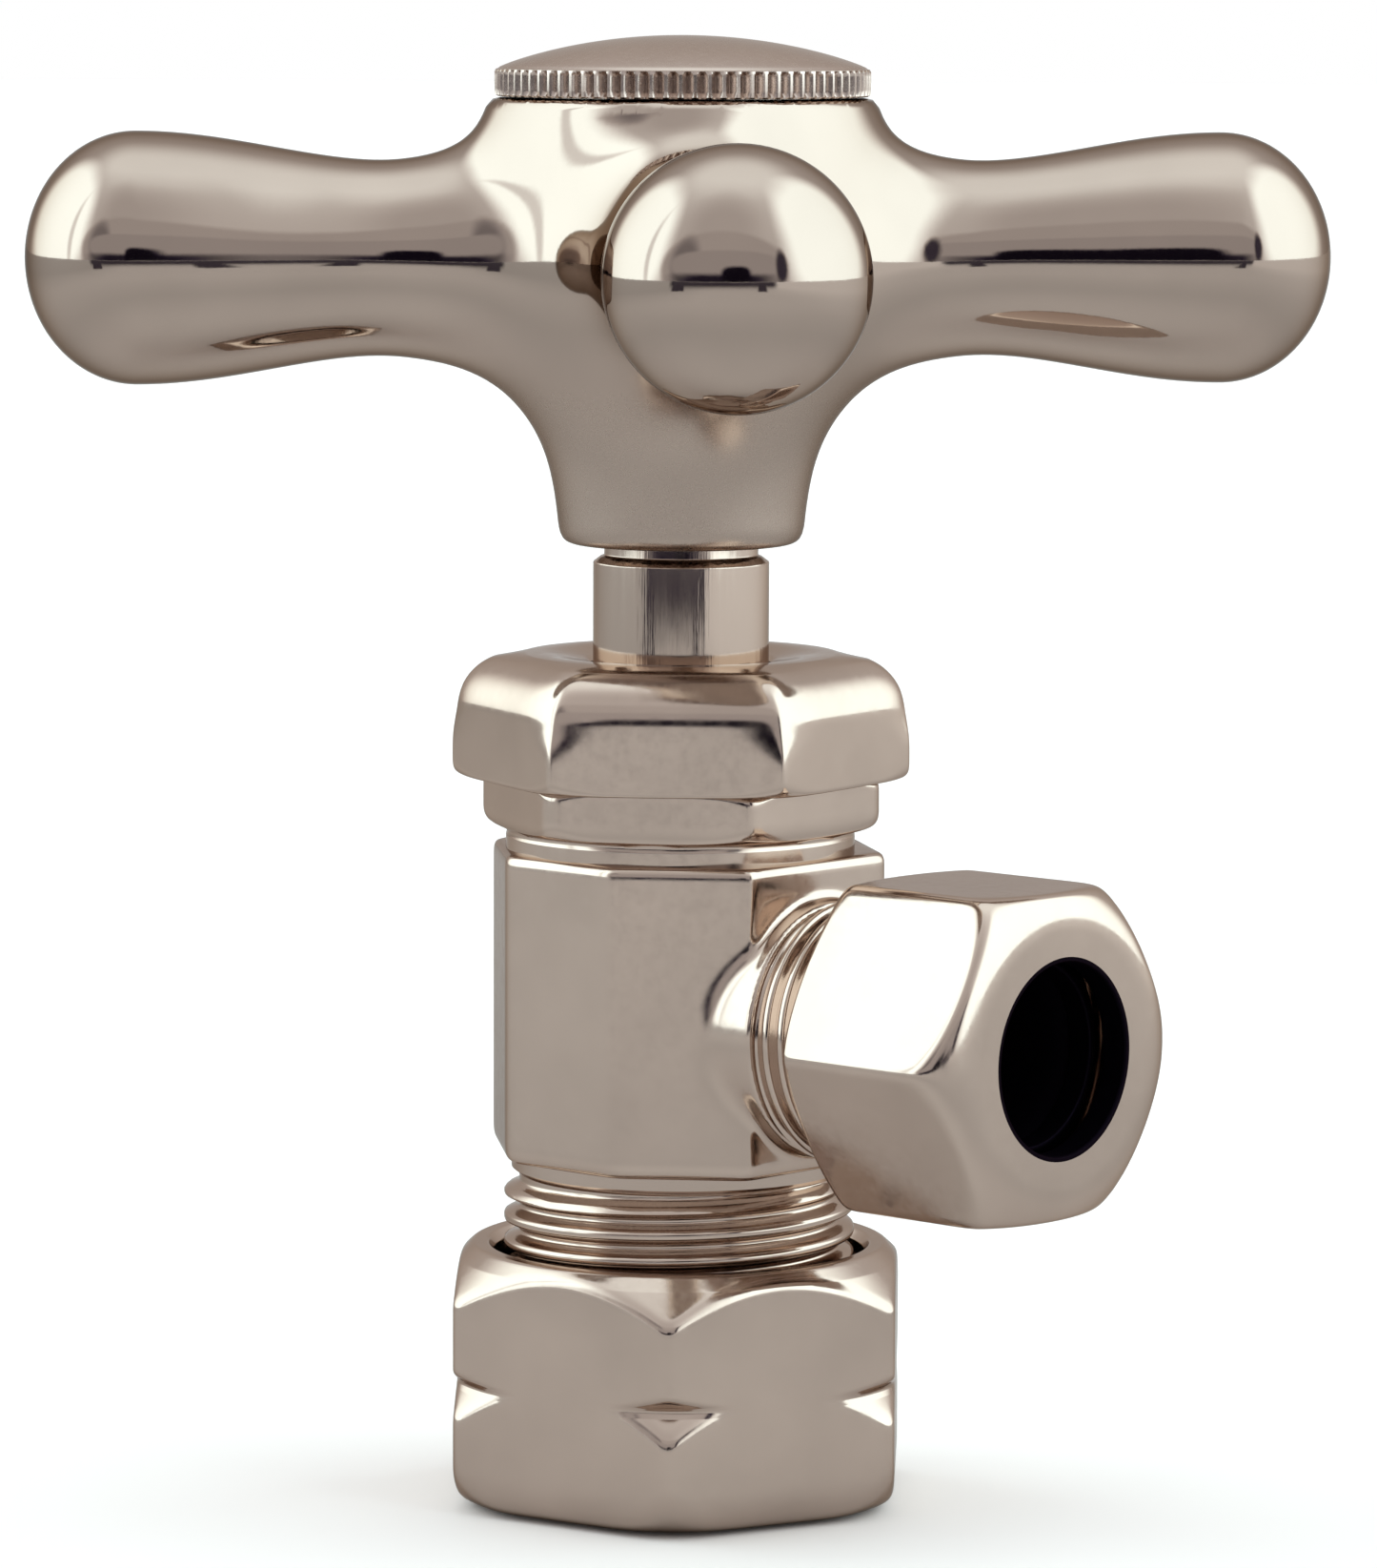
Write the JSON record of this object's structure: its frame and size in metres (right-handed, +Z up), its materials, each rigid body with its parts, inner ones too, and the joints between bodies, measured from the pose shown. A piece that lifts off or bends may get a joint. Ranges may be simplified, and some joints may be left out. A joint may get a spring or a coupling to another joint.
{
  "type": "angle stop valve",
  "caption": "Polished nickel angle stop valve with a cross handle, hex compression nuts below and to the side, and a multi-turn stem.",
  "frame": {"origin": "on the valve axis, at the bottom face of the inlet nut", "axes": "+Z up along the stem towards the cross handle, +X out of the outlet, handle fully open"},
  "size_m": [0.0563, 0.0561, 0.0796],
  "materials": {
    "valve_body": "polished nickel plate on brass",
    "bonnet": "polished nickel plate on brass",
    "packing_nut": "polished nickel plate on brass",
    "inlet_nut": "polished nickel plate on brass, fine lapping marks",
    "outlet_nut": "polished nickel plate on brass",
    "stem": "turned and polished nickel plate",
    "cross_handle": "polished nickel plate",
    "index_cap": "polished dome, knurled rim",
    "bonnet_gasket": "red fibre",
    "packing_washer": "turned brass",
    "stem_packing": "white PTFE",
    "friction_ring": "turned brass",
    "jumper": "turned brass",
    "seat_washer": "black rubber",
    "seat_washer_screw": "brass screw",
    "handle_screw": "stainless steel",
    "handle_lock_washer": "stainless steel",
    "cap_o_ring": "black rubber",
    "inlet_ferrule": "plain brass sleeve",
    "outlet_ferrule": "plain brass sleeve"
  },
  "bodies": {
    "valve": {"valve_body": "valve_body", "bonnet": "bonnet", "bonnet_gasket": "bonnet_gasket", "packing_nut": "packing_nut", "packing_washer": "packing_washer", "stem_packing": "stem_packing", "friction_ring": "friction_ring"},
    "jumper_set": {"jumper": "jumper", "seat_washer": "seat_washer", "seat_washer_screw": "seat_washer_screw"},
    "stem_and_handle": {"stem": "stem", "cross_handle": "cross_handle", "handle_screw": "handle_screw", "handle_lock_washer": "handle_lock_washer"},
    "cap_ring": {"cap_o_ring": "cap_o_ring"},
    "cap": {"index_cap": "index_cap"},
    "inlet_sleeve": {"inlet_ferrule": "inlet_ferrule"},
    "inlet_hex": {"inlet_nut": "inlet_nut"},
    "outlet_sleeve": {"outlet_ferrule": "outlet_ferrule"},
    "outlet_hex": {"outlet_nut": "outlet_nut"}
  },
  "joints": [
    {"name": "stem_rise", "type": "slide", "parent": "valve", "child": "jumper_set", "axis": [0, 0, 1], "range_m": [-0.0045, 0]},
    {"name": "handle_turn", "type": "hinge", "parent": "jumper_set", "child": "stem_and_handle", "pos_m": [0, 0, 0.0678], "axis": [0, 0, 1], "range_deg": [-1080.5, 0]},
    {"name": "cap_rise", "type": "slide", "parent": "stem_and_handle", "child": "cap_ring", "axis": [0, 0, 1], "range_m": [0, 0.003]},
    {"name": "cap_turn", "type": "hinge", "parent": "cap_ring", "child": "cap", "pos_m": [0, 0, 0.077], "axis": [0, 0, 1], "range_deg": [0, 1080.5]},
    {"name": "inlet_nut_drop", "type": "slide", "parent": "valve", "child": "inlet_sleeve", "axis": [0, 0, 1], "range_m": [-0.00847, 0]},
    {"name": "inlet_nut_turn", "type": "hinge", "parent": "inlet_sleeve", "child": "inlet_hex", "pos_m": [0, 0, 0.007], "axis": [0, 0, 1], "range_deg": [-2161, 0]},
    {"name": "outlet_nut_travel", "type": "slide", "parent": "valve", "child": "outlet_sleeve", "axis": [1, 0, 0], "range_m": [0, 0.00635]},
    {"name": "outlet_nut_turn", "type": "hinge", "parent": "outlet_sleeve", "child": "outlet_hex", "pos_m": [0.02, 0, 0.0267], "axis": [1, 0, 0], "range_deg": [0, 2161]}
  ],
  "couplings": [
    {"joint": "handle_turn", "follows": "stem_rise", "rad_per_m": 4188.8},
    {"joint": "cap_turn", "follows": "cap_rise", "rad_per_m": 6283.2},
    {"joint": "inlet_nut_turn", "follows": "inlet_nut_drop", "rad_per_m": 4453},
    {"joint": "outlet_nut_turn", "follows": "outlet_nut_travel", "rad_per_m": 5938.7}
  ]
}
